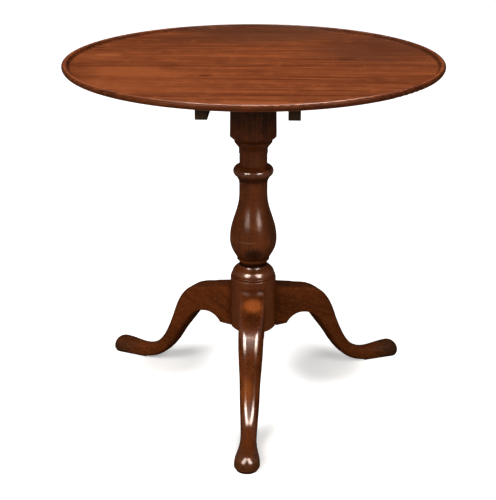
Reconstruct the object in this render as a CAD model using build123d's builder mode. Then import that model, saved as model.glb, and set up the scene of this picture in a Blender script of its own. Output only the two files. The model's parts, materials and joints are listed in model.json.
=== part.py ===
from build123d import *
import os
from math import atan2, degrees, sqrt
from typing import NamedTuple

# Tilt top table: a round dished board on two bearers tips about a pivot block, which sits on the
# head of a turned column with three cabriole legs.
# Millimetres, +Z up. The origin lies on the floor under the column's axis, the front leg points
# to -Y, and the board tips about an axis parallel to X, behind the column.

# ------------------------------------------------------------------ board
table_height = 711.0  # floor to the crest of the rim
top_radius = 372.0
board_thickness = 20.0  # crest of the rim to the flat underside
dish_depth = 7.4  # crest of the rim down to the dished surface
edge_thickness = 13.0  # at the rim, below its crest
crest_inset = 5.0  # the rim's crest lies this far inside its widest line
crest_rise = 4.5  # and this far above it
rim_width = 17.0  # widest line to the start of the dished surface
cove_width = 6.0  # hollow between the dished surface and the rim's bead
cove_rise = 4.6
bead_drop = 2.0  # the bead's inner side, from the crest down to the groove by the cove
bevel_width = 42.0  # the underside thins over this width, up to the rounded edge

# ------------------------------------------------------------------ bearers
bearer_spacing = 162.4  # centre to centre
bearer_thickness = 22.0
bearer_length = 606.0
bearer_depth = 35.0  # at the pivot
bearer_end_depth = 24.5
bearer_middle = 190.0  # stretch that keeps the full depth
bearer_corner = 5.0  # rounding of the lower end corners
bearer_arris = 1.5  # rounding of the long lower edges

# ------------------------------------------------------------------ pivot block
block_depth = 136.0  # along Y
block_thickness = 38.0
block_side_gap = 0.5  # to each bearer
block_chamfer = 3.0  # along its lower edges
pivot_inset = 16.0  # pivot axis below the board and in front of the block's rear face
pintle_radius = 9.0
pintle_fit = 0.05  # radial running clearance in the bearer
pintle_setback = 0.5  # end of the pintle inside the bearer's outer face
sweep_gap = 0.3  # board's underside to the block's rounded edge while it tips
sweep_ease = 10.0  # run over which the rounded edge meets the flat faces

# ------------------------------------------------------------------ column
column_bottom = 142.0
drum_radius = 47.0
drum_margin = 21.6  # drum's top above leg_rise
drum_round = 2.4  # rounding of its upper edge
drum_foot_chamfer = 4.0
quirk = 1.4  # depth and height of the sharp grooves between mouldings
seam = 0.9  # the finest grooves, beside the small beads
astragal_radius = 45.7
astragal_height = 4.0
cushion_radius = 44.1
cushion_height = 13.0
cushion_arc = 20.0
fillet_radius = 35.5  # narrow step on the cushion
fillet_height = 1.5
crown_bead_radius = 30.8
crown_bead_height = 6.0
crown_bead_swell = 0.9  # of its curve beyond a straight slope
waist_radius = 26.9
waist_rise = 9.6  # hollow between the crown bead and the vase's foot ring
waist_sag = 0.8  # depth of the hollow below a straight slope
foot_ring_radius = 33.4
foot_ring_height = 3.4
vase_belly_radius = 48.1
vase_belly_rise = 41.6  # above the foot ring
vase_taper_height = 98.0  # belly to the narrow of the neck
neck_radius = 28.7
vase_neck_length = 19.0
ring_cove_height = 18.0
ring_cove_width = 7.2
ring_radius = 41.0
ring_belly_rise = 9.5  # from the cove up to the ring's widest
ring_round_height = 9.5  # rounded above it
ring_round_depth = 5.4
ring_slope_height = 3.5  # then sloping in to the neck
upper_neck_radius = 28.2
upper_neck_length = 25.0
neck_band_radius = 29.2
neck_band_height = 9.5
cyma_height = 13.0
cap_fillet_radius = 38.3
cap_fillet_height = 4.0
octagon_width = 93.0  # across flats, at its lower end
octagon_taper = 0.9  # degrees drawn in towards the block
octagon_chamfer_rise = 7.5  # turned chamfer under the octagon, at the middle of a flat
tenon_radius = 21.0
tenon_setback = 0.3  # end of the tenon below the board
glue_gap = 0.05  # round joints that are glued

# ------------------------------------------------------------------ wedges in the tenon
wedge_offset = 8.0  # from the column's axis
wedge_depth = 30.0
wedge_head = 5.0
wedge_tip = 1.5

# ------------------------------------------------------------------ legs
leg_count = 3
leg_length = 296.6  # drum to the centre of the pad
leg_rise = 235.0  # height that the stations share out
leg_thickness = 50.0
pad_radius = 24.7
pad_height = 32.6
pad_crown = 24.0  # rounding over the pad
pad_sole_ease = 4.5
sole_thickness = 2.2  # flat sole that stands proud under the foot
sole_radius = 20.5  # round its toe
sole_toe_setback = 2.0  # inside the pad's toe
sole_heel_width = 19.0
sole_heel_length = 66.0  # from the toe's centre back to the square heel
heel_lift = 0.7  # of the shin's underside above the sole, behind the heel
cove_top_lift = 7.5  # cove on the leg's top, where it meets the drum: above leg_rise
cove_foot_drop = 8.9  # and below it
cove_reach = 10.5
cove_radius = 18.7
cove_inset = 0.4  # inside the leg's sides
cove_root = 6.0  # part of it within the leg
bracket_reach = 20.6  # flat under the leg, from the drum to the arch
arch_rise = 18.4  # height of the arch over the bracket
arch_drop = 2.35  # of the leg's underside from the arch's top to the knee
joint_fit = 0.1  # scribed shoulder and sliding dovetail
dovetail_depth = 22.0
dovetail_neck = 18.0  # width at the drum's surface
dovetail_tip = 26.0
dovetail_height = 82.0

# ------------------------------------------------------------------ tripod plate
plate_thickness = 2.5
plate_hub_radius = 37.0
plate_arm_width = 26.0
plate_arm_length = 66.0  # to the centre of the rounded end
plate_core_screw_offset = 29.0
plate_screw_length = 22.0
plate_screw_head = 4.2
plate_screw_shank = 2.1

# ------------------------------------------------------------------ bearer screws
bearer_screw_outer_offset = 270.0  # outer screws, from the middle
bearer_screw_inner_offset = 132.0
bearer_screw_grip = 20.0  # wood left between the head and the board
bearer_screw_bite = 9.0  # into the board
bearer_screw_head = 4.5
bearer_screw_shank = 2.3
screw_play = 0.1  # round the screws

# ------------------------------------------------------------------ catch
catch_gap = 2.0  # catch plate to the block's front face
catch_plate_length = 52.0  # along Y
catch_plate_width = 46.0
catch_plate_thickness = 2.0
catch_plate_corner = 4.0
case_setback = 4.0  # case behind the plate's edge
case_length = 36.0
case_width = 26.0
case_depth = 10.0
case_wall = 1.5
bolt_width = 16.0
bolt_thickness = 4.5
bolt_play = 0.3
bolt_body_length = 22.0  # stretch that stays in the case
bolt_engagement = 5.5  # into the block
bolt_travel = 8.0
bolt_bevel_rest = 1.0  # flat left above the bevel of the nose
knob_radius = 5.5
knob_collar_radius = 3.0
knob_stem_radius = 1.9
knob_stem_length = 4.0  # below the case
spring_thickness = 0.4
spring_width = 7.0
spring_length = 18.0
catch_screw_inset = 5.0
catch_screw_length = 9.0
small_screw_head = 3.0
small_screw_shank = 1.4

# ------------------------------------------------------------------ strike
strike_width = 42.0
strike_height = 14.0
strike_thickness = 1.6
strike_screw_spacing = 31.0
strike_screw_length = 12.0
mortise_depth = 9.0

# ------------------------------------------------------------------ places that follow
dish_z = table_height - dish_depth
underside_z = table_height - board_thickness
edge_radius = edge_thickness - crest_rise
block_half_depth = block_depth / 2
block_bottom = underside_z - block_thickness
pivot_y = block_half_depth - pivot_inset
pivot_z = underside_z - pivot_inset
bearer_inner = (bearer_spacing - bearer_thickness) / 2
block_half_width = bearer_inner - block_side_gap
drum_top = leg_rise + drum_margin
pad_reach = drum_radius + leg_length
case_front = -block_half_depth - catch_gap - case_setback
case_tail = case_front - case_length
bolt_low = underside_z - catch_plate_thickness - case_depth + case_wall + bolt_play
bolt_nose = -block_half_depth + bolt_engagement

os.makedirs("parts", exist_ok=True)


def screw_form(length: float, head: float, shank: float, play: float = 0.0) -> Part:
    """A countersunk wood screw that points to -Z, its head's face at the origin.

    With play it is the hole that the screw sits in.
    """
    head_height = head - shank
    point = 2 * shank
    with BuildPart() as form:
        with BuildSketch(Plane.XZ):
            with BuildLine():
                Polyline(
                    (0, 0),
                    (head + play, 0),
                    (shank + play, -head_height),
                    (shank + play, point - length),
                    (0, -length - play),
                    close=True,
                )
            make_face()
        revolve(axis=Axis.Z)
    return form.part


def slotted_screw(length: float, head: float, shank: float) -> Part:
    """The screw itself, with a driver slot across its head."""
    slot_width = head * 0.22
    slot_depth = head * 0.25
    with BuildPart() as screw:
        add(screw_form(length, head, shank))
        Box(
            2 * head,
            slot_width,
            slot_depth,
            align=(Align.CENTER, Align.CENTER, Align.MAX),
            mode=Mode.SUBTRACT,
        )
    return screw.part


# ------------------------------------------------------------------ screw places
# Each place's own Z points out of the screw's head, so the screw runs into the wood behind it.
bearer_screw_z = underside_z - bearer_screw_grip


def bearer_screw_places(side: int) -> list[Location]:
    """Four places along a bearer, heads down."""
    outer, inner = bearer_screw_outer_offset, bearer_screw_inner_offset
    offsets = (-outer, -inner, inner, outer)
    x = side * bearer_spacing / 2
    return [Location((x, y, bearer_screw_z), (180, 0, 0)) for y in offsets]


plate_face = column_bottom - plate_thickness
arm_screw_places = [
    Location((0, 0, plate_face), (0, 0, turn - 90))
    * Location((plate_arm_length, 0, 0), (180, 0, 0))
    for turn in range(0, 360, 360 // leg_count)
]
core_screw_places = [
    Location((0, 0, plate_face), (0, 0, turn + 90))
    * Location((plate_core_screw_offset, 0, 0), (180, 0, 0))
    for turn in range(0, 360, 360 // leg_count)
]
catch_plate_y = -block_half_depth - catch_gap - catch_plate_length / 2
catch_screw_x = catch_plate_width / 2 - catch_screw_inset
catch_screw_y = catch_plate_length / 2 - catch_screw_inset
catch_screw_places = [
    Location((x, catch_plate_y + y, underside_z - catch_plate_thickness), (180, 0, 0))
    for x in (-catch_screw_x, catch_screw_x)
    for y in (-catch_screw_y, catch_screw_y)
]
strike_z = underside_z - strike_height / 2
strike_screw_places = [
    Location((x, -block_half_depth, strike_z), (90, 0, 0))
    for x in (-strike_screw_spacing / 2, strike_screw_spacing / 2)
]

# ------------------------------------------------------------------ top board
dish_radius = top_radius - rim_width
groove_reach = dish_radius + cove_width
crest = (top_radius - crest_inset, table_height)
widest = (top_radius, table_height - crest_rise)
edge_foot = (top_radius - edge_radius, table_height - edge_thickness)
bearer_screw_length = bearer_screw_grip + bearer_screw_bite

with BuildPart() as top_board:
    with BuildSketch(Plane.XZ):
        with BuildLine():
            Line((0, dish_z), (dish_radius, dish_z))
            cove = TangentArc(
                (dish_radius, dish_z), (groove_reach, dish_z + cove_rise), tangent=(1, 0)
            )
            Line(cove @ 1, (groove_reach, table_height - bead_drop))
            TangentArc(crest, (groove_reach, table_height - bead_drop), tangent=(-1, 0))
            TangentArc(crest, widest, tangent=(1, 0))
            TangentArc(widest, edge_foot, tangent=(0, -1))
            Polyline(
                edge_foot,
                (top_radius - edge_radius - bevel_width, underside_z),
                (0, underside_z),
                (0, dish_z),
            )
        make_face()
    revolve(axis=Axis.Z)
    with Locations(*bearer_screw_places(-1), *bearer_screw_places(1)):
        add(
            screw_form(bearer_screw_length, bearer_screw_head, bearer_screw_shank, screw_play),
            mode=Mode.SUBTRACT,
        )
    with Locations(*catch_screw_places):
        add(
            screw_form(catch_screw_length, small_screw_head, small_screw_shank, screw_play),
            mode=Mode.SUBTRACT,
        )
top_board.part.label = "top_board"
export_step(top_board.part, "parts/top_board.step")

# ------------------------------------------------------------------ bearers and their screws
for side, hand in ((-1, "left"), (1, "right")):
    inner_face = side * bearer_inner
    with BuildPart() as bearer:
        with BuildSketch(Plane.YZ.offset(inner_face)):
            with BuildLine():
                Polyline(
                    (-bearer_length / 2, underside_z),
                    (bearer_length / 2, underside_z),
                    (bearer_length / 2, underside_z - bearer_end_depth),
                    (bearer_middle / 2, underside_z - bearer_depth),
                    (-bearer_middle / 2, underside_z - bearer_depth),
                    (-bearer_length / 2, underside_z - bearer_end_depth),
                    close=True,
                )
            make_face()
        extrude(amount=side * bearer_thickness)
        end_corners = bearer.edges().filter_by(Axis.X).group_by(Axis.Z)[1]
        fillet(end_corners, bearer_corner)
        fillet(bearer.faces().sort_by(Axis.Z)[0].edges().filter_by(Axis.Y), bearer_arris)
        with BuildSketch(Plane.YZ.offset(inner_face)):
            with Locations((pivot_y, pivot_z)):
                Circle(pintle_radius + pintle_fit)
        extrude(amount=side * bearer_thickness, mode=Mode.SUBTRACT)
        with Locations(*bearer_screw_places(side)):
            add(
                screw_form(bearer_screw_length, bearer_screw_head, bearer_screw_shank, screw_play),
                mode=Mode.SUBTRACT,
            )
            Cylinder(
                bearer_screw_head + screw_play,
                bearer_depth,
                align=(Align.CENTER, Align.CENTER, Align.MIN),
                mode=Mode.SUBTRACT,
            )
    bearer.part.label = f"bearer_{hand}"
    export_step(bearer.part, f"parts/bearer_{hand}.step")

    with BuildPart() as bearer_screws:
        with Locations(*bearer_screw_places(side)):
            add(slotted_screw(bearer_screw_length, bearer_screw_head, bearer_screw_shank))
    bearer_screws.part.label = f"bearer_screws_{hand}"
    export_step(bearer_screws.part, f"parts/bearer_screws_{hand}.step")

# ------------------------------------------------------------------ pivot block
sweep_radius = pivot_inset - sweep_gap
strike_slot_width = bolt_width + 2 * bolt_play
strike_slot_height = bolt_thickness + 2 * bolt_play
strike_slot_z = bolt_low + bolt_thickness / 2

with BuildPart() as pivot_block:
    with BuildSketch(Plane.YZ.offset(-block_half_width)):
        with BuildLine():
            Polyline(
                (pivot_y, pivot_z + sweep_radius),
                (pivot_y - sweep_ease, underside_z),
                (-block_half_depth, underside_z),
                (-block_half_depth, block_bottom),
                (block_half_depth, block_bottom),
                (block_half_depth, pivot_z - sweep_ease),
                (pivot_y + sweep_radius, pivot_z),
            )
            RadiusArc(
                (pivot_y + sweep_radius, pivot_z), (pivot_y, pivot_z + sweep_radius), -sweep_radius
            )
        make_face()
    extrude(amount=2 * block_half_width)
    chamfer(pivot_block.faces().sort_by(Axis.Z)[0].edges(), block_chamfer)
    with BuildSketch(Plane.YZ):
        with Locations((pivot_y, pivot_z)):
            Circle(pintle_radius)
    extrude(amount=bearer_inner + bearer_thickness - pintle_setback, both=True)
    with BuildSketch(Plane.XY.offset(block_bottom)):
        Circle(tenon_radius + glue_gap)
    extrude(amount=block_thickness, mode=Mode.SUBTRACT)
    with BuildSketch(Plane.XZ.offset(block_half_depth)):
        with Locations((0, strike_z)):
            Rectangle(strike_width, strike_height)
    extrude(amount=-strike_thickness, mode=Mode.SUBTRACT)
    with BuildSketch(Plane.XZ.offset(block_half_depth)):
        with Locations((0, strike_slot_z)):
            Rectangle(strike_slot_width, strike_slot_height)
    extrude(amount=-mortise_depth, mode=Mode.SUBTRACT)
    with Locations(*strike_screw_places):
        add(
            screw_form(strike_screw_length, small_screw_head, small_screw_shank, screw_play),
            mode=Mode.SUBTRACT,
        )
pivot_block.part.label = "pivot_block"
export_step(pivot_block.part, "parts/pivot_block.step")

# ------------------------------------------------------------------ strike plate
with BuildPart() as strike_plate:
    with BuildSketch(Plane.XZ.offset(block_half_depth)):
        with Locations((0, strike_z)):
            Rectangle(strike_width, strike_height)
        with Locations((0, strike_slot_z)):
            Rectangle(strike_slot_width, strike_slot_height, mode=Mode.SUBTRACT)
    extrude(amount=-strike_thickness)
    with Locations(*strike_screw_places):
        add(
            screw_form(strike_screw_length, small_screw_head, small_screw_shank, screw_play),
            mode=Mode.SUBTRACT,
        )
strike_plate.part.label = "strike_plate"
export_step(strike_plate.part, "parts/strike_plate.step")

with BuildPart() as strike_screws:
    with Locations(*strike_screw_places):
        add(slotted_screw(strike_screw_length, small_screw_head, small_screw_shank))
strike_screws.part.label = "strike_screws"
export_step(strike_screws.part, "parts/strike_screws.step")

# ------------------------------------------------------------------ column: heights of its turnings
astragal_low = drum_top + seam
astragal_high = astragal_low + astragal_height
cushion_low = astragal_high + seam
cushion_high = cushion_low + cushion_height
fillet_low = cushion_high + seam
fillet_high = fillet_low + fillet_height
crown_bead_low = fillet_high + seam
crown_bead_high = crown_bead_low + crown_bead_height
foot_ring_low = crown_bead_high + waist_rise
foot_ring_high = foot_ring_low + foot_ring_height
belly_z = foot_ring_high + vase_belly_rise
vase_neck_z = belly_z + vase_taper_height
ring_cove_low = vase_neck_z + vase_neck_length
ring_low = ring_cove_low + ring_cove_height
ring_belly_z = ring_low + ring_belly_rise
ring_round_z = ring_belly_z + ring_round_height
ring_high = ring_round_z + ring_slope_height
neck_band_low = ring_high + upper_neck_length
neck_band_high = neck_band_low + neck_band_height
cyma_low = neck_band_high
cyma_high = cyma_low + cyma_height
octagon_low = cyma_high + cap_fillet_height
astragal_root = astragal_radius - quirk
crown_bead_middle = (crown_bead_radius + waist_radius) / 2 + crown_bead_swell
waist_middle = (waist_radius + foot_ring_radius) / 2 - waist_sag
ring_root = neck_radius + ring_cove_width
octagon_half = octagon_width / 2
tenon_top = underside_z - tenon_setback

with BuildSketch(Plane.XZ) as kerfs:
    for kerf_x in (-wedge_offset, wedge_offset):
        with BuildLine():
            Polyline(
                (kerf_x - wedge_head / 2, tenon_top),
                (kerf_x + wedge_head / 2, tenon_top),
                (kerf_x + wedge_tip / 2, tenon_top - wedge_depth),
                (kerf_x - wedge_tip / 2, tenon_top - wedge_depth),
                close=True,
            )
        make_face()


def dovetail_outline(play: float, outer: float) -> list[tuple[float, float]]:
    """Corners of a dovetail along +X that widens towards the column's axis."""
    inner = drum_radius - dovetail_depth + play
    tip = dovetail_tip / 2 - play
    slope = (dovetail_tip - dovetail_neck) / 2 / dovetail_depth
    neck = tip - slope * (outer - inner)
    return [(inner, -tip), (outer, -neck), (outer, neck), (inner, tip)]


with BuildPart() as column:
    with BuildSketch(Plane.XZ):
        with BuildLine():
            Polyline(
                (0, column_bottom),
                (drum_radius - drum_foot_chamfer, column_bottom),
                (drum_radius, column_bottom + drum_foot_chamfer),
                (drum_radius, drum_top - drum_round),
            )
            RadiusArc(
                (drum_radius, drum_top - drum_round),
                (drum_radius - drum_round, drum_top),
                -drum_round,
            )
            Polyline(
                (drum_radius - drum_round, drum_top),
                (astragal_root, drum_top),
                (astragal_root, astragal_low),
            )
            ThreePointArc(
                (astragal_root, astragal_low),
                (astragal_radius, (astragal_low + astragal_high) / 2),
                (astragal_root, astragal_high),
            )
            Polyline(
                (astragal_root, astragal_high),
                (cushion_radius - quirk, astragal_high),
                (cushion_radius - quirk, cushion_low),
                (cushion_radius, cushion_low),
            )
            cushion = RadiusArc(
                (cushion_radius, cushion_low),
                (fillet_radius + quirk, cushion_high),
                -cushion_arc,
            )
            Polyline(
                cushion @ 1,
                (fillet_radius - seam, cushion_high),
                (fillet_radius - seam, fillet_low),
                (fillet_radius, fillet_low),
                (fillet_radius - quirk, fillet_high),
                (crown_bead_radius - seam, fillet_high),
                (crown_bead_radius - seam, crown_bead_low),
                (crown_bead_radius, crown_bead_low),
            )
            ThreePointArc(
                (crown_bead_radius, crown_bead_low),
                (crown_bead_middle, (crown_bead_low + crown_bead_high) / 2),
                (waist_radius, crown_bead_high),
            )
            waist = ThreePointArc(
                (waist_radius, crown_bead_high),
                (waist_middle, crown_bead_high + waist_rise / 2),
                (foot_ring_radius, foot_ring_low),
            )
            Polyline(
                waist @ 1,
                (foot_ring_radius, foot_ring_high - seam),
                (foot_ring_radius - seam, foot_ring_high),
            )
            Spline(
                (foot_ring_radius - seam, foot_ring_high),
                (vase_belly_radius, belly_z),
                tangents=((0.62, 1), (0, 1)),
            )
            Spline(
                (vase_belly_radius, belly_z),
                (neck_radius, vase_neck_z),
                tangents=((0, 1), (0, 1)),
            )
            Line((neck_radius, vase_neck_z), (neck_radius, ring_cove_low))
            ring_cove = TangentArc(
                (neck_radius, ring_cove_low), (ring_root, ring_low), tangent=(0, 1)
            )
            TangentArc((ring_radius, ring_belly_z), ring_cove @ 1, tangent=(0, -1))
            TangentArc(
                (ring_radius, ring_belly_z),
                (ring_radius - ring_round_depth, ring_round_z),
                tangent=(0, 1),
            )
            Polyline(
                (ring_radius - ring_round_depth, ring_round_z),
                (upper_neck_radius, ring_high),
                (upper_neck_radius, neck_band_low),
                (neck_band_radius, neck_band_low),
                (neck_band_radius, neck_band_high),
            )
            Spline(
                (neck_band_radius, cyma_low),
                (cap_fillet_radius, cyma_high),
                tangents=((0.4, 1), (0.6, 1)),
            )
            Polyline(
                (cap_fillet_radius, cyma_high),
                (cap_fillet_radius, octagon_low),
                (0, octagon_low),
                (0, column_bottom),
            )
        make_face()
    revolve(axis=Axis.Z)
    with BuildSketch(Plane.XY.offset(octagon_low)):
        RegularPolygon(octagon_half, side_count=8, major_radius=False, rotation=22.5)
    extrude(amount=block_bottom - octagon_low, taper=octagon_taper)
    with BuildSketch(Plane.XZ):
        with BuildLine():
            Polyline(
                (cap_fillet_radius, octagon_low),
                (2 * octagon_half - cap_fillet_radius, octagon_low),
                (2 * octagon_half - cap_fillet_radius, octagon_low + 2 * octagon_chamfer_rise),
                close=True,
            )
        make_face()
    revolve(axis=Axis.Z, mode=Mode.SUBTRACT)
    with BuildSketch(Plane.XY.offset(block_bottom)):
        Circle(tenon_radius)
    extrude(amount=tenon_top - block_bottom)
    extrude(kerfs.sketch, amount=tenon_radius, both=True, mode=Mode.SUBTRACT)
    with BuildSketch(Plane.XY.offset(column_bottom)):
        with PolarLocations(0, leg_count, start_angle=-90):
            Polygon(*dovetail_outline(0, drum_radius + quirk), align=None)
    extrude(amount=dovetail_height, mode=Mode.SUBTRACT)
    with Locations(*core_screw_places):
        add(
            screw_form(plate_screw_length, plate_screw_head, plate_screw_shank, screw_play),
            mode=Mode.SUBTRACT,
        )
column.part.label = "column"
export_step(column.part, "parts/column.step")

with BuildPart() as tenon_wedges:
    extrude(kerfs.sketch, amount=tenon_radius, both=True)
    with BuildSketch(Plane.XY.offset(block_bottom)):
        Circle(tenon_radius)
    extrude(amount=block_thickness, mode=Mode.INTERSECT)
tenon_wedges.part.label = "tenon_wedges"
export_step(tenon_wedges.part, "parts/tenon_wedges.step")


# ------------------------------------------------------------------ legs
class LegStation(NamedTuple):
    """One cross-section of a leg.

    Reaches are shares of leg_length from the drum, heights of leg_rise, the rest of leg_thickness.
    """

    crest: tuple[float, float]
    sole: tuple[float, float]
    width: float
    crown: float  # rounding of the two upper corners
    ease: float  # rounding of the two lower corners


arch_top = (column_bottom + arch_rise) / leg_rise
bracket_z = column_bottom / leg_rise
sole_z = sole_thickness / leg_rise
pad_width = 2 * pad_radius / leg_thickness
shoulder_stations = [
    LegStation((-0.024, 0.990), (-0.024, bracket_z), 1.0, 0.012, 0.01),
    LegStation((0.037, 0.962), (0.037, bracket_z), 1.0, 0.030, 0.01),
    LegStation((0.111, 0.939), (0.111, bracket_z), 1.0, 0.066, 0.01),
    LegStation((0.180, 0.920), (0.180, bracket_z), 1.0, 0.080, 0.01),
]
shin_stations = [
    LegStation((0.180, 0.920), (0.180, arch_top), 1.0, 0.080, 0.01),
    LegStation((0.240, 0.901), (0.228, arch_top - arch_drop / leg_rise), 1.0, 0.115, 0.03),
    LegStation((0.316, 0.877), (0.286, 0.638), 0.99, 0.21, 0.07),
    LegStation((0.420, 0.778), (0.348, 0.552), 0.96, 0.33, 0.14),
    LegStation((0.495, 0.608), (0.416, 0.429), 0.87, 0.36, 0.18),
    LegStation((0.549, 0.437), (0.485, 0.291), 0.80, 0.33, 0.20),
    LegStation((0.622, 0.269), (0.560, 0.164), 0.73, 0.30, 0.20),
    LegStation((0.706, 0.170), (0.655, 0.064), 0.65, 0.28, 0.20),
    LegStation((0.803, 0.133), (0.778, sole_z + heel_lift / leg_rise), 0.67, 0.29, 0.15),
    LegStation((0.909, 0.134), (0.898, sole_z), 0.86, 0.38, 0.11),
    LegStation(
        (1.0, pad_height / leg_rise),
        (1.0, sole_z),
        pad_width,
        pad_crown / leg_thickness,
        pad_sole_ease / leg_thickness,
    ),
]


def station_point(share: tuple[float, float]) -> Vector:
    """A station's point in the plane of a leg along +X."""
    return Vector(drum_radius + share[0] * leg_length, 0, share[1] * leg_rise)


def station_plane(station: LegStation) -> Plane:
    """The section's plane: origin at the sole, local Y towards the crest."""
    upward = station_point(station.crest) - station_point(station.sole)
    return Plane(
        origin=station_point(station.sole),
        x_dir=(0, 1, 0),
        z_dir=Vector(0, 1, 0).cross(upward),
    )


def leg_sections(stations: list[LegStation]) -> list[Sketch]:
    """The sections that a stretch of leg is lofted through."""
    sections = []
    for station in stations:
        height = (station_point(station.crest) - station_point(station.sole)).length
        with BuildSketch(station_plane(station)) as section:
            Rectangle(station.width * leg_thickness, height, align=(Align.CENTER, Align.MIN))
            fillet(section.vertices().group_by(Axis.Y)[-1], station.crown * leg_thickness)
            fillet(section.vertices().group_by(Axis.Y)[0], station.ease * leg_thickness)
        sections.append(section.sketch)
    return sections


arch_point = station_point(shin_stations[0].sole)
arch_end = (arch_point.X, arch_point.Z)
bracket_corner = (drum_radius + bracket_reach, column_bottom)
arch_span = arch_point.X - drum_radius - bracket_reach
arch_radius = (arch_span**2 + arch_rise**2) / (2 * arch_rise)  # level at its top

sole_toe = pad_reach + pad_radius - sole_toe_setback - sole_radius
sole_taper = degrees(atan2(sole_heel_length, sole_radius - sole_heel_width / 2))

cove_top = leg_rise + cove_top_lift
cove_foot = leg_rise - cove_foot_drop
cove_edge = drum_radius + cove_reach

with BuildPart() as leg_cove:
    with BuildSketch(Plane.XZ):
        with BuildLine():
            RadiusArc((drum_radius, cove_top), (cove_edge, cove_foot), -cove_radius)
            Polyline(
                (cove_edge, cove_foot),
                (cove_edge, cove_foot - cove_root),
                (drum_radius, cove_foot - cove_root),
                (drum_radius, cove_top),
            )
        make_face()
    revolve(axis=Axis.Z)
    with BuildSketch(Plane.XY.offset(cove_foot - cove_root)):
        Rectangle(cove_edge, leg_thickness - 2 * cove_inset, align=(Align.MIN, Align.CENTER))
    extrude(amount=cove_top - cove_foot + cove_root, mode=Mode.INTERSECT)

with BuildPart() as leg_form:
    loft(leg_sections(shoulder_stations))
    add(leg_cove.part)
    with BuildSketch(Plane.XZ):
        with BuildLine():
            RadiusArc(bracket_corner, arch_end, arch_radius)
            Polyline(arch_end, (arch_point.X, column_bottom), bracket_corner)
        make_face()
    extrude(amount=leg_thickness, both=True, mode=Mode.SUBTRACT)
    loft(leg_sections(shin_stations))
    with BuildSketch(Plane.YZ.offset(pad_reach)) as toe:
        with Locations((0, sole_thickness)):
            Rectangle(pad_radius, pad_height - sole_thickness, align=(Align.MIN, Align.MIN))
        outer_corners = toe.vertices().group_by(Axis.X)[-1].sort_by(Axis.Y)
        fillet(outer_corners[1], pad_crown)
        fillet(toe.vertices().group_by(Axis.Y)[0].sort_by(Axis.X)[-1], pad_sole_ease)
    revolve(axis=Axis((pad_reach, 0, 0), (0, 0, 1)), revolution_arc=-180)
    split(bisect_by=Plane.XY.offset(sole_thickness), keep=Keep.TOP)
    with BuildSketch() as sole:
        with Locations((sole_toe, 0)):
            Circle(sole_radius)
            Trapezoid(
                2 * sole_radius,
                sole_heel_length,
                sole_taper,
                rotation=90,
                align=(Align.CENTER, Align.MIN),
            )
    extrude(amount=sole_thickness + pad_sole_ease)
    with BuildSketch(Plane.XY.offset(column_bottom)):
        Circle(drum_radius + joint_fit)
    extrude(amount=drum_top - column_bottom, mode=Mode.SUBTRACT)
    with BuildSketch(Plane.XY.offset(column_bottom)):
        Polygon(*dovetail_outline(joint_fit, drum_radius + dovetail_depth / 4), align=None)
    extrude(amount=dovetail_height - joint_fit)
    with Locations(Location((plate_arm_length, 0, plate_face), (180, 0, 0))):
        add(
            screw_form(plate_screw_length, plate_screw_head, plate_screw_shank, screw_play),
            mode=Mode.SUBTRACT,
        )

for hand, turn in (("front", -90), ("right", 30), ("left", 150)):
    with BuildPart() as leg:
        add(leg_form.part, rotation=(0, 0, turn))
    leg.part.label = f"leg_{hand}"
    export_step(leg.part, f"parts/leg_{hand}.step")

# ------------------------------------------------------------------ tripod plate and its screws
with BuildPart() as tripod_plate:
    with BuildSketch(Plane.XY.offset(column_bottom)):
        Circle(plate_hub_radius)
        with PolarLocations(0, leg_count, start_angle=-90):
            with Locations((plate_arm_length / 2, 0)):
                Rectangle(plate_arm_length, plate_arm_width)
        with PolarLocations(plate_arm_length, leg_count, start_angle=-90):
            Circle(plate_arm_width / 2)
    extrude(amount=-plate_thickness)
    with Locations(*arm_screw_places, *core_screw_places):
        add(
            screw_form(plate_screw_length, plate_screw_head, plate_screw_shank, screw_play),
            mode=Mode.SUBTRACT,
        )
tripod_plate.part.label = "tripod_plate"
export_step(tripod_plate.part, "parts/tripod_plate.step")

with BuildPart() as tripod_plate_screws:
    with Locations(*arm_screw_places, *core_screw_places):
        add(slotted_screw(plate_screw_length, plate_screw_head, plate_screw_shank))
tripod_plate_screws.part.label = "tripod_plate_screws"
export_step(tripod_plate_screws.part, "parts/tripod_plate_screws.step")

# ------------------------------------------------------------------ catch: plate and screws
catch_plate_low = underside_z - catch_plate_thickness

with BuildPart() as catch_plate:
    with BuildSketch(Plane.XY.offset(underside_z)):
        with Locations((0, catch_plate_y)):
            RectangleRounded(catch_plate_width, catch_plate_length, catch_plate_corner)
    extrude(amount=-catch_plate_thickness)
    with Locations(*catch_screw_places):
        add(
            screw_form(catch_screw_length, small_screw_head, small_screw_shank, screw_play),
            mode=Mode.SUBTRACT,
        )
catch_plate.part.label = "catch_plate"
export_step(catch_plate.part, "parts/catch_plate.step")

with BuildPart() as catch_screws:
    with Locations(*catch_screw_places):
        add(slotted_screw(catch_screw_length, small_screw_head, small_screw_shank))
catch_screws.part.label = "catch_screws"
export_step(catch_screws.part, "parts/catch_screws.step")

# ------------------------------------------------------------------ catch: case, bolt, knob, spring
case_y = (case_front + case_tail) / 2
case_low = catch_plate_low - case_depth
bolt_body_front = case_front - case_wall - bolt_play
bolt_body_tail = bolt_body_front - bolt_body_length
bolt_body_width = case_width - 2 * case_wall - 2 * bolt_play
bolt_body_thickness = case_depth - case_wall - 2 * bolt_play
knob_y = (bolt_body_front + bolt_body_tail) / 2
knob_slot_width = 2 * (knob_stem_radius + bolt_play)

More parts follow.
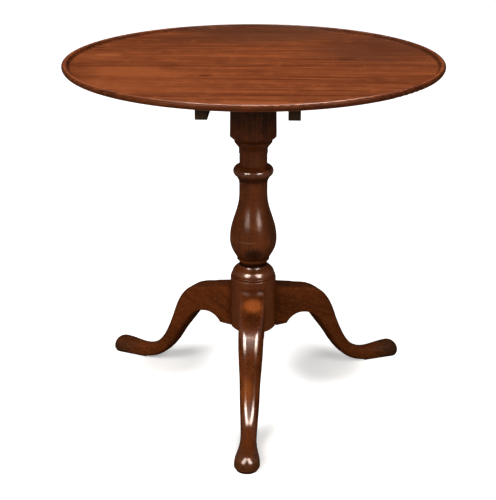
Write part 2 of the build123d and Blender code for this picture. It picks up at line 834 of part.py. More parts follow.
with BuildPart() as catch_case:
    with BuildSketch(Plane.XY.offset(catch_plate_low)):
        with Locations((0, case_y)):
            Rectangle(case_width, case_length)
    extrude(amount=-case_depth)
    with BuildSketch(Plane.XY.offset(catch_plate_low)):
        with Locations((0, case_y)):
            Rectangle(case_width - 2 * case_wall, case_length - 2 * case_wall)
    extrude(amount=case_wall - case_depth, mode=Mode.SUBTRACT)
    with BuildSketch(Plane.XZ.offset(-case_front)):
        with Locations((0, strike_slot_z)):
            Rectangle(strike_slot_width, strike_slot_height)
    extrude(amount=case_wall, mode=Mode.SUBTRACT)
    with BuildSketch(Plane.XY.offset(case_low)):
        with Locations((0, knob_y - bolt_travel / 2)):
            SlotOverall(bolt_travel + knob_slot_width, knob_slot_width, rotation=90)
    extrude(amount=case_wall, mode=Mode.SUBTRACT)
catch_case.part.label = "catch_case"
export_step(catch_case.part, "parts/catch_case.step")

with BuildPart() as catch_bolt:
    with BuildSketch(Plane.XY.offset(bolt_low)):
        with Locations((0, knob_y)):
            Rectangle(bolt_body_width, bolt_body_length)
    extrude(amount=bolt_body_thickness)
    with BuildSketch(Plane.XY.offset(bolt_low)):
        with Locations((0, (bolt_body_front + bolt_nose) / 2)):
            Rectangle(bolt_width, bolt_nose - bolt_body_front)
    extrude(amount=bolt_thickness)
    nose = catch_bolt.faces().sort_by(Axis.Y)[-1]
    chamfer(nose.edges().sort_by(Axis.Z)[0], bolt_thickness - bolt_bevel_rest)
    with BuildSketch(Plane.XY.offset(bolt_low)):
        with Locations((0, knob_y)):
            Circle(knob_stem_radius + glue_gap)
    extrude(amount=bolt_body_thickness / 2, mode=Mode.SUBTRACT)
catch_bolt.part.label = "catch_bolt"
export_step(catch_bolt.part, "parts/catch_bolt.step")

knob_top = case_low - knob_stem_length
knob_centre = knob_top - sqrt(knob_radius**2 - knob_collar_radius**2)

with BuildPart() as catch_knob:
    with BuildSketch(Plane.XZ.offset(-knob_y)):
        with BuildLine():
            Polyline(
                (0, knob_centre - knob_radius),
                (0, bolt_low + bolt_body_thickness / 2),
                (knob_stem_radius, bolt_low + bolt_body_thickness / 2),
                (knob_stem_radius, knob_top + quirk),
                (knob_collar_radius, knob_top + quirk),
                (knob_collar_radius, knob_top),
            )
            ThreePointArc(
                (knob_collar_radius, knob_top),
                (knob_radius, knob_centre),
                (0, knob_centre - knob_radius),
            )
        make_face()
    revolve(axis=Axis((0, knob_y, 0), (0, 0, 1)))
catch_knob.part.label = "catch_knob"
export_step(catch_knob.part, "parts/catch_knob.step")

spring_wall_y = case_tail + case_wall + spring_thickness
spring_crest_y = bolt_body_tail - spring_thickness

with BuildPart() as catch_spring:
    with BuildSketch(Plane.XY.offset(bolt_low + (bolt_body_thickness - spring_width) / 2)):
        with BuildLine():
            ThreePointArc(
                (-spring_length / 2, spring_wall_y),
                (0, spring_crest_y),
                (spring_length / 2, spring_wall_y),
            )
        trace(line_width=spring_thickness)
    extrude(amount=spring_width)
catch_spring.part.label = "catch_spring"
export_step(catch_spring.part, "parts/catch_spring.step")
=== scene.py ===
"""Looks of the tilt top table: polished mahogany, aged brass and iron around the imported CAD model.

Everything is in metres in the CAD model's own frame: +Z up, the front leg towards -Y, the origin on the
floor under the column's axis.
"""

import json
import logging
import math
from dataclasses import dataclass, field, replace
from enum import Enum
from typing import Any, NamedTuple

import bmesh
import bpy
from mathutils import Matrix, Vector

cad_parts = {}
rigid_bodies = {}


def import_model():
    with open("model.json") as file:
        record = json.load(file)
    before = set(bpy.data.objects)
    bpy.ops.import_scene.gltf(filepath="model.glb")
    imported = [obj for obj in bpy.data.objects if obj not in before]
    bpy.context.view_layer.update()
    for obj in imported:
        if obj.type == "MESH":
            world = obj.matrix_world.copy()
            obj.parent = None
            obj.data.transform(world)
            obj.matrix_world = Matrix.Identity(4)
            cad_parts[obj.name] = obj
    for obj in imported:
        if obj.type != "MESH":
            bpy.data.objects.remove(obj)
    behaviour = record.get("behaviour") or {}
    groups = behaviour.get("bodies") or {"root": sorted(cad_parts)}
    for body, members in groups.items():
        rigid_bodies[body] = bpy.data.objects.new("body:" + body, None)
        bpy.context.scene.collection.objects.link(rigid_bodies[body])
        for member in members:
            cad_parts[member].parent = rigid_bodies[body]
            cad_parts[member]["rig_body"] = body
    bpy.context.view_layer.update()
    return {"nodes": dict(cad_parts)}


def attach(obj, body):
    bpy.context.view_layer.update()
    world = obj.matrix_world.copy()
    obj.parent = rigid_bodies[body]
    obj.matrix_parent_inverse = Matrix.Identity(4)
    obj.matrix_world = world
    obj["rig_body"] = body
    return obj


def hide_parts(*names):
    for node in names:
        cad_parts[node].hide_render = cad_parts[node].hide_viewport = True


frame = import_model()

log = logging.getLogger("tilt_top_table")

Colour = tuple[float, float, float]
Point = tuple[float, float, float]
MM = 0.001
MERGE_DISTANCE = 0.00002
CREASE = 34.0  # degrees; an edge that bends by more stays sharp
NOISE_MIDDLE = 0.5  # the middle of a noise, which runs from 0 to 1
WHITE = (1.0, 1.0, 1.0)


# ---------------------------------------------------------------- shader maths
class Value:
    """An output socket that takes part in Python expressions, each of which adds its Math nodes."""

    def __init__(self, shader: "Shader", socket: bpy.types.NodeSocket) -> None:
        self.shader = shader
        self.socket = socket

    def math(self, operation: str, other: "Value | float" = 0.0) -> "Value":
        """This value and another through one Math node."""
        return self.shader.math(operation, self, other)

    def __add__(self, other: "Value | float") -> "Value":
        return self.math("ADD", other)

    def __sub__(self, other: "Value | float") -> "Value":
        return self.math("SUBTRACT", other)

    def __mul__(self, other: "Value | float") -> "Value":
        return self.math("MULTIPLY", other)

    def __rsub__(self, other: float) -> "Value":
        return self.shader.math("SUBTRACT", other, self)

    __radd__ = __add__
    __rmul__ = __mul__


class Shader:
    """A node tree, written as expressions.

    Args:
        owner: The material or the world that the tree belongs to.
        output: The type of its output node.
    """

    def __init__(self, owner: bpy.types.Material | bpy.types.World, output: str) -> None:
        owner.use_nodes = True
        self.tree = owner.node_tree
        self.tree.nodes.clear()
        self.output = self.add(output)

    def add(
        self,
        kind: str,
        settings: dict[str, Any] | None = None,
        sockets: dict[str | int, Any] | None = None,
    ) -> bpy.types.Node:
        """Add any node.

        Args:
            kind: The node's type.
            settings: Its settings, set first; "stops" are a colour ramp's (position, colour) pairs.
            sockets: The values or links of its input sockets, by name or index.

        Returns:
            The node.
        """
        node = self.tree.nodes.new(kind)
        for name, setting in (settings or {}).items():
            if name == "stops":
                elements = node.color_ramp.elements
                while len(elements) < len(setting):
                    elements.new(1.0)
                for element, (position, colour) in zip(elements, setting):
                    element.position = position
                    element.color = (*colour, 1.0)
            else:
                setattr(node, name, setting)
        for key, value in (sockets or {}).items():
            socket = node.inputs[key]
            if isinstance(value, Value):
                self.tree.links.new(value.socket, socket)
            elif socket.type == "RGBA" and len(value) == 3:
                socket.default_value = (*value, 1.0)
            else:
                socket.default_value = value
        return node

    def value(
        self,
        kind: str,
        settings: dict[str, Any] | None = None,
        sockets: dict[str | int, Any] | None = None,
        output: str | int = 0,
    ) -> Value:
        """Add any node, as add does, and take one of its outputs."""
        return Value(self, self.add(kind, settings, sockets).outputs[output])

    def math(self, operation: str, first: Value | float, second: Value | float = 0.0) -> Value:
        """One Math node."""
        return self.value("ShaderNodeMath", {"operation": operation}, {0: first, 1: second})

    def stretch(self, vector: Value, factors: Point) -> Value:
        """A vector with each of its axes scaled by itself."""
        return self.value("ShaderNodeVectorMath", {"operation": "MULTIPLY"}, {0: vector, 1: factors})

    def shift(self, vector: Value, other: Value | Point) -> Value:
        """The sum of two vectors."""
        return self.value("ShaderNodeVectorMath", {"operation": "ADD"}, {0: vector, 1: other})

    def length(self, vector: Value) -> Value:
        """A vector's length."""
        return self.value("ShaderNodeVectorMath", {"operation": "LENGTH"}, {0: vector}, output="Value")

    def noise(self, vector: Value, scale: float, detail: float = 2.0, roughness: float = 0.5) -> Value:
        """Noise from 0 to 1."""
        sockets = {"Vector": vector, "Scale": scale, "Detail": detail, "Roughness": roughness}
        return self.value("ShaderNodeTexNoise", {}, sockets)

    def between(self, value: Value | float, low: float, high: float) -> Value:
        """How far a value has come from low to high, smoothly, from 0 to 1; low may be the larger."""
        sockets = {"Value": value, "From Min": low, "From Max": high}
        return self.value("ShaderNodeMapRange", {"interpolation_type": "SMOOTHSTEP"}, sockets)

    def mix(self, share: Value | float, first: Any, second: Any, blend: str = "MIX") -> Value:
        """Two colours mixed."""
        settings = {"data_type": "RGBA", "blend_type": blend, "clamp_factor": True}
        return self.value("ShaderNodeMix", settings, {0: share, 6: first, 7: second}, output=2)

    def offset(self, place: Value, centre: Point) -> Value:
        """The vector from a point to the place."""
        return self.shift(place, tuple(-number for number in centre))

    def axes(self, vector: Value) -> tuple[Value, Value, Value]:
        """A vector's three numbers."""
        node = self.add("ShaderNodeSeparateXYZ", {}, {0: vector})
        return tuple(Value(self, socket) for socket in node.outputs)

    def attribute(self, name: str) -> Value:
        """A number that the mesh carries at its vertices."""
        return self.value("ShaderNodeAttribute", {"attribute_name": name}, output="Fac")

    def place(self) -> Value:
        """The point on the piece, in the CAD model's frame."""
        return self.value("ShaderNodeTexCoord", output="Object")

    def facing(self) -> tuple[Value, Value, Value]:
        """The way that the surface faces, in the CAD model's frame."""
        return self.axes(self.value("ShaderNodeTexCoord", output="Normal"))

    def seen(self) -> Value:
        """One where the camera, a reflection or glass looks at the surface, and zero where light falls."""
        node = self.add("ShaderNodeLightPath")
        camera, glossy, through = (
            Value(self, node.outputs[f"Is {kind} Ray"]) for kind in ("Camera", "Glossy", "Transmission")
        )
        return camera + glossy + through

    def close(self, surface: Value) -> None:
        """Link the surface to the output."""
        self.tree.links.new(surface.socket, self.output.inputs["Surface"])

    def finish(self, sockets: dict[str, Any], height: Value, depth: float) -> None:
        """Close a material with one Principled shader.

        Args:
            sockets: The shader's own sockets.
            height: Relief over the surface, from 0 to 1.
            depth: The relief's depth in metres.
        """
        bump = {"Strength": 1.0, "Distance": depth, "Height": height}
        sockets = {**sockets, "Normal": self.value("ShaderNodeBump", {}, bump)}
        self.close(self.value("ShaderNodeBsdfPrincipled", {}, sockets))


# ---------------------------------------------------------------- finishes
# Each mark of a material comes in between two values of its noise.
BANDS = (0.34, 0.66)
PALE_STREAKS = (0.42, 0.72)
DARK_STREAKS = (0.5, 0.28)
PORES = (0.56, 0.72)
CLOUDS = (0.48, 0.72)
SMEARS = (0.5, 0.72)
PALE_SPOTS = (0.54, 0.68)
DARK_SPOTS = (0.46, 0.33)
STAINS = (0.38, 0.66)
SCRATCHES = (0.62, 0.8)
PITS = (0.62, 0.75)
# Dirt and painted shade, and rubbing, come in between two strengths of their masks, and a patch between
# two distances.
SOIL_AND_SHADE = (0.1, 1.0)
RUBBING = (0.35, 1.0)
PATCH_EDGE = (1.15, 0.35)  # of the patch's reach
# How far up a surface faces, from -1 to 1.
# Painted shade darkens what faces down, from the first value to the second.
SHADED_FACING_DOWN = (-0.2, -0.8)
FACING_UP = (0.7, 0.97)


class Grain(Enum):
    """Which way the wood's fibres run, as a turn of the pattern in degrees about X, Y and Z."""

    LEFT_RIGHT = (0.0, 0.0, 0.0)
    FRONT_BACK = (0.0, 0.0, -90.0)
    UPRIGHT = (0.0, 90.0, 0.0)


@dataclass(frozen=True)
class Patch:
    """A soft-edged patch of another colour."""

    centre: Point
    reach: Point  # half its size along each axis
    colour: Colour
    share: float  # how much of the colour shows at its middle


class Places(NamedTuple):
    """Where a piece is darkened by soiling and painted shade, rubbed and burnished, each from 0 to 1."""

    hollow: Value
    wear: Value
    shine: Value


@dataclass(frozen=True)
class WoodFinish:
    """Polished or waxed wood: broad figure, fine streaks, pores, patina, painted shade and wear."""

    dark: Colour
    middle: Colour
    pale: Colour
    # the dark colour of pores, spots and dirt, and of painted shade
    grime_and_shade: Colour
    worn: Colour
    figure: float = 26.0  # broad bands across a metre
    streaks: float = 230.0  # fine lines across a metre
    figure_length: float = 1.6
    streak_length: float = 5.0
    sway: float = 0.012  # metres over which the fibres wander
    contrast: float = 0.75  # of the streaks
    pores: float = 0.35
    pore_grid: tuple[float, float] = (95.0, 1900.0)  # pores across a metre, along and across the fibres
    cloud: float = 0.35
    cloud_scale: float = 9.0
    smear_scale: float = 34.0  # of rubbed and greasy places
    speckle: float = 0.0  # of small pale and dark spots in old polish
    speckle_scale: float = 230.0
    roughness: float = 0.4
    polish: float = 0.018  # weight of the clear coat on plain surfaces
    burnish: float = 0.075  # and where hands and cloths have rubbed it
    dull: float = 0.5  # share of the coat that dust and wear take off what faces up
    coat_roughness: float = 0.24
    coat_index: float = 2.4
    relief: float = 0.00006

    def places(self, s: Shader, place: Value) -> Places:
        """Where the piece is darkened, rubbed and burnished: only painted shade on what faces down."""
        down = s.between(s.facing()[2], *SHADED_FACING_DOWN)
        return Places(down * 0.5, down * 0.0, down * 0.0)

    def material(
        self, name: str, turn: Point, seed: float, patches: tuple[Patch, ...] = ()
    ) -> bpy.types.Material:
        """Make the material for one piece.

        Args:
            name: The material's name.
            turn: Degrees about X, Y and Z that lay the pattern's X axis along the fibres.
            seed: Shifts the pattern, so that no two pieces are alike.
            patches: Patches of other colours.

        Returns:
            The material.
        """
        material = bpy.data.materials.new(name)
        s = Shader(material, "ShaderNodeOutputMaterial")
        place = s.place()
        fibres = s.value(
            "ShaderNodeMapping",
            {"vector_type": "POINT"},
            {
                "Vector": place,
                "Rotation": tuple(math.radians(angle) for angle in turn),
                "Location": (seed, 0.37 * seed, 0.11 * seed),
            },
        )
        sway = s.value("ShaderNodeTexNoise", {}, {"Vector": fibres, "Scale": 5.0, "Detail": 2.0}, 1)
        fibres = s.shift(fibres, s.stretch(sway, (0.0, self.sway, self.sway)))
        broad = s.stretch(fibres, (self.figure_length, self.figure, self.figure))
        bands = s.noise(broad, 1.0, detail=3.0, roughness=0.55)
        lines = s.stretch(fibres, (self.streak_length, self.streaks, self.streaks))
        streaks = s.noise(lines, 1.0, detail=4.0, roughness=0.65)
        along, across = self.pore_grid
        pore_lines = s.noise(s.stretch(fibres, (along, across, across)), 1.0, detail=1.0)
        pores = s.between(pore_lines, *PORES)
        cloud = s.noise(place, self.cloud_scale, detail=4.0, roughness=0.6)
        smear = s.noise(place, self.smear_scale, detail=4.0, roughness=0.6)
        spots = s.noise(place, self.speckle_scale, detail=3.0, roughness=0.65)
        hollow, wear, shine = self.places(s, place)

        colour = s.mix(s.between(bands, *BANDS), self.dark, self.middle)
        colour = s.mix(s.between(streaks, *PALE_STREAKS) * self.contrast, colour, self.pale)
        colour = s.mix(s.between(streaks, *DARK_STREAKS) * (self.contrast * 0.6), colour, self.dark)
        colour = s.mix(pores * self.pores, colour, self.grime_and_shade)
        colour = s.mix(s.between(cloud, *CLOUDS) * self.cloud, colour, self.dark)
        colour = s.mix(s.between(smear, *SMEARS) * (self.cloud * 0.6), colour, self.pale)
        colour = s.mix(s.between(spots, *PALE_SPOTS) * self.speckle, colour, self.pale)
        for patch in patches:
            away = s.stretch(s.offset(place, patch.centre), tuple(1.0 / number for number in patch.reach))
            edge = s.length(away) + (cloud - NOISE_MIDDLE) * 1.2 + (streaks - NOISE_MIDDLE) * 0.8
            edge = edge + (spots - NOISE_MIDDLE) * (2.0 * self.speckle)
            colour = s.mix(s.between(edge, *PATCH_EDGE) * patch.share, colour, patch.colour)
        colour = s.mix(s.between(spots, *DARK_SPOTS) * self.speckle, colour, self.grime_and_shade)
        # Dirt and painted shade darken the colour.
        darkened = s.between(hollow + (smear - NOISE_MIDDLE) * 0.4, *SOIL_AND_SHADE)
        colour = s.mix(darkened * 0.92, colour, self.grime_and_shade)
        rubbed = wear + (cloud - NOISE_MIDDLE) * 0.8 + (streaks - NOISE_MIDDLE) * 0.5
        rubbed = s.between(rubbed, *RUBBING)
        colour = s.mix(rubbed * 0.85, colour, self.worn)

        coat = (shine * (self.burnish - self.polish) + self.polish) * (1.0 - hollow * 0.95)
        dusty = s.between(s.facing()[2], *FACING_UP) * self.dull
        coat = coat * (1.0 - dusty) * (0.75 + smear * 0.5)
        roughness = self.roughness + (smear - NOISE_MIDDLE) * 0.22 + pores * 0.12
        s.finish(
            {
                "Base Color": colour,
                "Roughness": roughness,
                "Specular IOR Level": 0.0,
                "Coat Weight": coat,
                "Coat Roughness": self.coat_roughness,
                "Coat IOR": self.coat_index,
            },
            streaks * 0.35 + smear * 0.5 - pores * 0.5,
            self.relief,
        )
        return material


@dataclass(frozen=True)
class BoardFinish(WoodFinish):
    """The top board: a rubbed, shining rim, a dull field, a dark underside, an outer face darkened by its
    finish and by painted shade, and soiling and painted shade at the rim's inner wall.
    """

    rim_wall: float = 0.3610  # radius of the rim's inner wall
    rim_crest: float = 0.3670  # radius at which its crest ends
    rim_face: float = 0.3689  # radius at which its outer face begins
    underside: float = 0.6925  # height below which the board is dark
    wall_reach: float = 0.006  # how far the dirt and painted shade at the wall reach into the field
    edge_margin: float = 0.002  # how far short of an edge its dirt and painted shade, or its rub, end
    front: tuple[float, float] = (-0.15, -0.28)  # Y between which the rim turns to its rubbed front

    def places(self, s: Shader, place: Value) -> Places:
        """Where the board is darkened by soiling and painted shade, rubbed and burnished."""
        radius = s.length(s.stretch(place, (1.0, 1.0, 0.0)))
        _, back, height = s.axes(place)
        face = s.between(radius, self.rim_face - 0.6 * MM, self.rim_face + 0.6 * MM)
        below = s.between(height, self.underside + MM, self.underside - MM)
        rise = s.between(radius, self.rim_wall - self.wall_reach, self.rim_wall - self.edge_margin)
        wall = rise * s.between(radius, self.rim_crest - self.edge_margin, self.rim_wall)
        crest = s.between(radius, self.rim_wall, self.rim_crest - self.edge_margin) * (1.0 - face)
        front = s.between(back, *self.front)
        # The outer face is darker partly in its own finish and partly as painted shade; the rim's inner
        # wall has dirt and painted shade.
        soil_and_shade_sum = face * 0.7 + below * 0.6 + wall * 0.62
        return Places(soil_and_shade_sum, crest * 0.25, crest * (front * 0.75 + 0.25))


@dataclass(frozen=True)
class TurnedFinish(WoodFinish):
    """Turned work: soiling and painted shade in the grooves and under the mouldings, which the mesh
    carries, and burnished beads.
    """

    lip: float = 0.2566  # height of the drum's rounded top edge
    beads: tuple[tuple[float, float], ...] = (  # heights between which a bead is burnished
        (0.2640, 0.2725),
        (0.2785, 0.2815),
        (0.4800, 0.4900),
    )
    neck: tuple[float, float] = (0.500, 0.530)  # heights between which the neck, with less dirt and painted shade, begins

    def places(self, s: Shader, place: Value) -> Places:
        """Where the turning is darkened by soiling and painted shade, rubbed and burnished."""
        height = s.axes(place)[2]
        shine = s.between(height, self.lip - 1.2 * MM, self.lip - 0.4 * MM)
        shine = shine * s.between(height, self.lip + MM, self.lip)
        for low, high in self.beads:
            bead = s.between(height, low - MM, low + MM) * s.between(height, high + MM, high - MM)
            shine = shine + bead
        neck = s.between(height, *self.neck)
        return Places(s.attribute("hollow") * (1.0 - neck * 0.45), s.attribute("crest") * 0.45, shine)


@dataclass(frozen=True)
class LegFinish(WoodFinish):
    """A leg: rubbed along its crest, with painted shade underneath, and darker where it meets the drum."""

    drum: float = 0.0462  # radius just inside the drum's surface
    joint_reach: float = 0.006  # from the drum, where dirt lies in the joint
    cove: tuple[float, float] = (0.016, 0.008)  # from the drum, between which the cove begins
    sole: tuple[float, float] = (0.006, 0.001)  # heights between which the dirty sole begins
    pad: tuple[float, float] = (0.045, 0.030)  # heights between which the less shining pad begins
    rubbed: tuple[float, float] = (0.1, 0.5)  # how far up a surface faces, where it is rubbed
    shining: tuple[float, float] = (0.42, 0.60)  # where it shines
    darkened: tuple[float, float] = (0.1, -0.7)  # and where it is darker, with painted shade underneath

    def places(self, s: Shader, place: Value) -> Places:
        """Where the leg is darkened by soiling and painted shade, rubbed and burnished."""
        up = s.facing()[2]
        radius = s.length(s.stretch(place, (1.0, 1.0, 0.0)))
        joint = s.between(radius, self.drum + self.joint_reach, self.drum)
        height = s.axes(place)[2]
        sole = s.between(height, *self.sole)
        cove = s.between(radius, *(self.drum + reach for reach in self.cove))
        crest = s.between(up, *self.rubbed) * (1.0 - cove)
        pad = s.between(height, *self.pad)
        shine = s.between(up, *self.shining) * (1.0 - cove) * (1.0 - pad * 0.5)
        # Painted shade underneath; darker too in the joint, in the cove and on the sole.
        soil_and_shade_sum = s.between(up, *self.darkened) * 0.5 + joint * 0.2 + cove * 0.3 + sole * 0.7
        return Places(soil_and_shade_sum, crest * 0.3, shine)


@dataclass(frozen=True)
class MetalFinish:
    """Aged metal: tarnish in patches, fine scratches and dull spots."""

    bright: Colour
    tarnish: Colour
    metallic: float = 1.0
    roughness: float = 0.38
    tarnish_share: float = 0.6
    patch_scale: float = 130.0
    scratch_grid: Point = (2600.0, 240.0, 900.0)  # scratches across a metre, along X, Y and Z
    pit_scale: float = 900.0
    relief: float = 0.00004

    def material(self, name: str) -> bpy.types.Material:
        """Make the material.

        Args:
            name: The material's name.

        Returns:
            The material.
        """
        material = bpy.data.materials.new(name)
        s = Shader(material, "ShaderNodeOutputMaterial")
        place = s.place()
        patches = s.noise(place, self.patch_scale, detail=5.0, roughness=0.65)
        scratches = s.noise(s.stretch(place, self.scratch_grid), 1.0, detail=2.0, roughness=0.6)
        pits = s.noise(place, self.pit_scale, detail=2.0, roughness=0.6)
        stain = s.between(patches + (pits - NOISE_MIDDLE) * 0.3, *STAINS) * self.tarnish_share
        colour = s.mix(stain, self.bright, self.tarnish)
        colour = s.mix(s.between(scratches, *SCRATCHES) * 0.35, colour, self.bright)
        roughness = self.roughness + stain * 0.25 + (scratches - NOISE_MIDDLE) * 0.15
        height = patches * 0.6 + scratches * 0.2 - s.between(pits, *PITS) * 0.6
        metallic = self.metallic - stain * 0.4 * self.metallic
        sockets = {"Base Color": colour, "Roughness": roughness, "Metallic": metallic}
        s.finish(sockets, height, self.relief)
        return material


MAHOGANY_TOP = BoardFinish(
    dark=(0.130, 0.031, 0.011),
    middle=(0.240, 0.059, 0.019),
    pale=(0.36, 0.100, 0.032),
    grime_and_shade=(0.030, 0.009, 0.004),
    worn=(0.40, 0.13, 0.045),
    figure=20.0,
    streaks=170.0,
    streak_length=3.6,
    contrast=0.95,
    cloud=0.6,
    polish=0.004,
    burnish=0.06,
    dull=0.0,
    coat_roughness=0.2,
)
MAHOGANY_TURNED = TurnedFinish(
    dark=(0.070, 0.0165, 0.0035),
    middle=(0.125, 0.030, 0.0060),
    pale=(0.185, 0.050, 0.0110),
    grime_and_shade=(0.010, 0.004, 0.002),
    worn=(0.26, 0.08, 0.022),
    contrast=0.3,
    figure_length=3.0,
    cloud=0.5,
    speckle=0.25,
    burnish=0.05,
    coat_roughness=0.22,
)
MAHOGANY_LEG = LegFinish(
    dark=(0.070, 0.0165, 0.0035),
    middle=(0.125, 0.029, 0.0060),
    pale=(0.185, 0.048, 0.0110),
    grime_and_shade=(0.014, 0.005, 0.003),
    worn=(0.30, 0.080, 0.018),
    contrast=0.35,
    figure_length=3.0,
    cloud=0.5,
    speckle=0.5,
    polish=0.005,
    coat_roughness=0.21,
)
# Less burnished, because from behind its crest mirrors the front lights.
SIDE_LEG = replace(MAHOGANY_LEG, burnish=0.018)
SECONDARY_WOOD = WoodFinish(
    dark=(0.030, 0.016, 0.009),
    middle=(0.052, 0.028, 0.015),
    pale=(0.085, 0.047, 0.024),
    grime_and_shade=(0.012, 0.009, 0.007),
    worn=(0.13, 0.08, 0.045),
    roughness=0.55,
    polish=0.012,
    relief=0.00012,
)
BRASS = MetalFinish(bright=(0.62, 0.42, 0.16), tarnish=(0.16, 0.09, 0.035))
IRON = MetalFinish(bright=(0.10, 0.095, 0.085), tarnish=(0.035, 0.022, 0.015), metallic=0.8, roughness=0.5)
SPRING_STEEL = MetalFinish(bright=(0.35, 0.35, 0.37), tarnish=(0.09, 0.07, 0.055), roughness=0.3)


# ---------------------------------------------------------------- pieces
def dress(piece: bpy.types.Object, material: bpy.types.Material) -> None:
    """Give a piece its material in every slot."""
    if not piece.material_slots:
        piece.data.materials.append(material)
    for held in piece.material_slots:
        held.material = material


def smooth_copy(node: str, crease: float = CREASE) -> bpy.types.Object:
    """Copy a CAD node with its doubles merged and its curved faces shaded as one.

    Args:
        node: The CAD node.
        crease: Edges that bend by more than these degrees stay sharp.

    Returns:
        The piece, which rides on the node's body and stands for it.
    """
    source = frame["nodes"][node]
    form = bmesh.new()
    form.from_mesh(source.data)
    bmesh.ops.remove_doubles(form, verts=form.verts, dist=MERGE_DISTANCE)
    limit = math.radians(crease)
    for face in form.faces:
        face.smooth = True
    for edge in form.edges:
        edge.smooth = len(edge.link_faces) == 2 and edge.calc_face_angle(0.0) < limit
    mesh = bpy.data.meshes.new(f"{node}_polished")
    form.to_mesh(mesh)
    form.free()
    for name in ("custom_normal", "Normal"):
        if name in mesh.attributes:
            mesh.attributes.remove(mesh.attributes[name])
    piece = bpy.data.objects.new(f"{node}_polished", mesh)
    bpy.context.scene.collection.objects.link(piece)
    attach(piece, source["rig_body"])
    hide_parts(node)
    return piece


def carry(mesh: bpy.types.Mesh, name: str, numbers: list[float]) -> None:
    """Let a mesh carry a number at each of its vertices."""
    mesh.attributes.new(name, "FLOAT", "POINT").data.foreach_set("value", numbers)


@dataclass
class Tabletop:
    """The round board with its bearers."""

    finish: BoardFinish = MAHOGANY_TOP
    bearer_finish: WoodFinish = SECONDARY_WOOD
    crease: float = 60.0  # degrees, more than the rim's bevels bend, so that they are shaded as one
    board_seed: float = 3.1
    bearer_seed: float = 1.7
    patches: tuple[Patch, ...] = (
        # The first four make the field paler to the left and darker and greyer at the back: partly the
        # board's own tone, partly painted light and painted reflection.
        Patch((0.02, 0.30, 0.70), (0.26, 0.13, 0.05), (0.105, 0.040, 0.021), 0.65),
        Patch((0.24, 0.15, 0.70), (0.16, 0.19, 0.05), (0.100, 0.033, 0.017), 0.65),
        Patch((-0.22, -0.09, 0.70), (0.13, 0.045, 0.05), (0.330, 0.088, 0.026), 0.65),
        Patch((-0.29, 0.061, 0.70), (0.030, 0.014, 0.05), (0.360, 0.105, 0.035), 0.7),
        Patch((-0.003, -0.144, 0.70), (0.190, 0.007, 0.05), (0.120, 0.028, 0.009), 0.8),
        Patch((-0.088, -0.119, 0.70), (0.016, 0.008, 0.05), (0.085, 0.020, 0.007), 0.9),
        Patch((0.178, 0.035, 0.70), (0.024, 0.012, 0.05), (0.100, 0.028, 0.012), 0.8),
    )

    def build(self) -> list[bpy.types.Object]:
        """Make the board and the bearers."""
        board = smooth_copy("top_board", crease=self.crease)
        grain = Grain.LEFT_RIGHT.value
        dress(board, self.finish.material("board_polish", grain, self.board_seed, self.patches))
        grain = Grain.FRONT_BACK.value
        bearer_material = self.bearer_finish.material("bearer_wax", grain, self.bearer_seed)
        for node in ("bearer_left", "bearer_right"):
            dress(frame["nodes"][node], bearer_material)
        return [board]


@dataclass
class Pillar:
    """The turned column with the pivot block on its head."""

    finish: TurnedFinish = MAHOGANY_TURNED
    block_finish: WoodFinish = SECONDARY_WOOD
    column_seed: float = 0.4
    block_seed: float = 5.2
    step: float = 0.002  # height over which one radius is read
    reach: int = 5  # steps up and down to the next moulding
    groove: float = 0.004  # depth of a groove that is full of dirt and painted shade
    overhang: float = 0.009  # how far a moulding stands over the wood below it, where dirt and painted shade gather
    patches: tuple[Patch, ...] = (
        # A dark patch over the octagon: mostly painted shade where the top keeps off the light, partly
        # patina.
        Patch((0.0, 0.0, 0.626), (0.09, 0.09, 0.070), (0.016, 0.0058, 0.0012), 0.95),
        Patch((-0.010, -0.043, 0.3435), (0.026, 0.012, 0.0008), (0.300, 0.150, 0.080), 0.5),
        # A dark patch under the vase's belly, in front: painted shade.
        Patch((0.004, -0.040, 0.318), (0.022, 0.022, 0.015), (0.020, 0.008, 0.003), 0.8),
    )

    def build(self) -> list[bpy.types.Object]:
        """Make the column and finish the block and its wedges."""
        column = smooth_copy("column")
        self.mark_turning(column.data)
        grain = Grain.UPRIGHT.value
        dress(column, self.finish.material("column_polish", grain, self.column_seed, self.patches))
        grain = Grain.LEFT_RIGHT.value
        block_material = self.block_finish.material("block_wax", grain, self.block_seed)
        for node in ("pivot_block", "tenon_wedges"):
            dress(frame["nodes"][node], block_material)
        return [column]

    def mark_turning(self, mesh: bpy.types.Mesh) -> None:
        """Find the turning's grooves and the crests of its beads from its own outline."""
        widest: dict[int, float] = {}
        for vertex in mesh.vertices:
            level = round(vertex.co.z / self.step)
            widest[level] = max(widest.get(level, 0.0), vertex.co.xy.length)
        hollow, crest = [], []
        for vertex in mesh.vertices:
            level, radius = round(vertex.co.z / self.step), vertex.co.xy.length
            lower = [widest.get(level - k, radius) for k in range(1, self.reach + 1)]
            upper = [widest.get(level + k, radius) for k in range(1, self.reach + 1)]
            sunk = min(max(lower), max(upper)) - radius
            proud = radius - max(min(lower), min(upper))
            under = (max(upper) - radius) / self.overhang
            # Grooves and the wood under an overhang get dirt and painted shade.
            hollow.append(min(max(sunk / self.groove, 0.8 * under, 0.0), 1.0))
            crest.append(min(max(2.0 * proud / self.groove, 0.0), 1.0))
        carry(mesh, "hollow", hollow)
        carry(mesh, "crest", crest)


